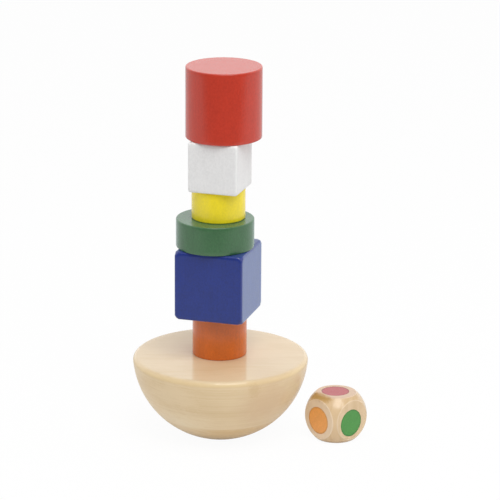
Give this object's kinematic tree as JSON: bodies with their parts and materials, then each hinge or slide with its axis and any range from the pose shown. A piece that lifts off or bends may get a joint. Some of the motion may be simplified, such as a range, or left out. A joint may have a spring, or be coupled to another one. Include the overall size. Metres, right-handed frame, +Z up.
{
  "type": "stacking balance game",
  "caption": "Wooden balance game: a half-ball rocker base, flat side up, carries a tower of painted cylinders, discs and cubes, with a rounded colour-dot die beside it.",
  "frame": {"origin": "centre of the flat foot on the underside of the half-ball base, on the surface it stands on", "axes": "+Z up along the base's axis and the tower; -Y towards the viewer; the die stands on the +X side"},
  "size_m": [0.1232, 0.092, 0.1983],
  "materials": {
    "natural_wood": "satin",
    "orange_paint": "satin",
    "blue_paint": "satin",
    "green_paint": "satin",
    "yellow_paint": "satin",
    "white_paint": "satin",
    "red_paint": "satin",
    "die_wood": "satin",
    "dot_red": "satin",
    "dot_orange": "satin",
    "dot_green": "satin",
    "dot_blue": "satin",
    "dot_yellow": "satin",
    "dot_white": "satin"
  },
  "bodies": {
    "root": {"rocker_base": "natural_wood", "orange_cylinder": "orange_paint", "blue_cube": "blue_paint", "green_disc": "green_paint", "yellow_disc": "yellow_paint", "white_cube": "white_paint", "red_cylinder": "red_paint", "colour_die": "die_wood", "die_dot_red": "dot_red", "die_dot_orange": "dot_orange", "die_dot_green": "dot_green", "die_dot_blue": "dot_blue", "die_dot_yellow": "dot_yellow", "die_dot_white": "dot_white"}
  },
  "joints": []
}
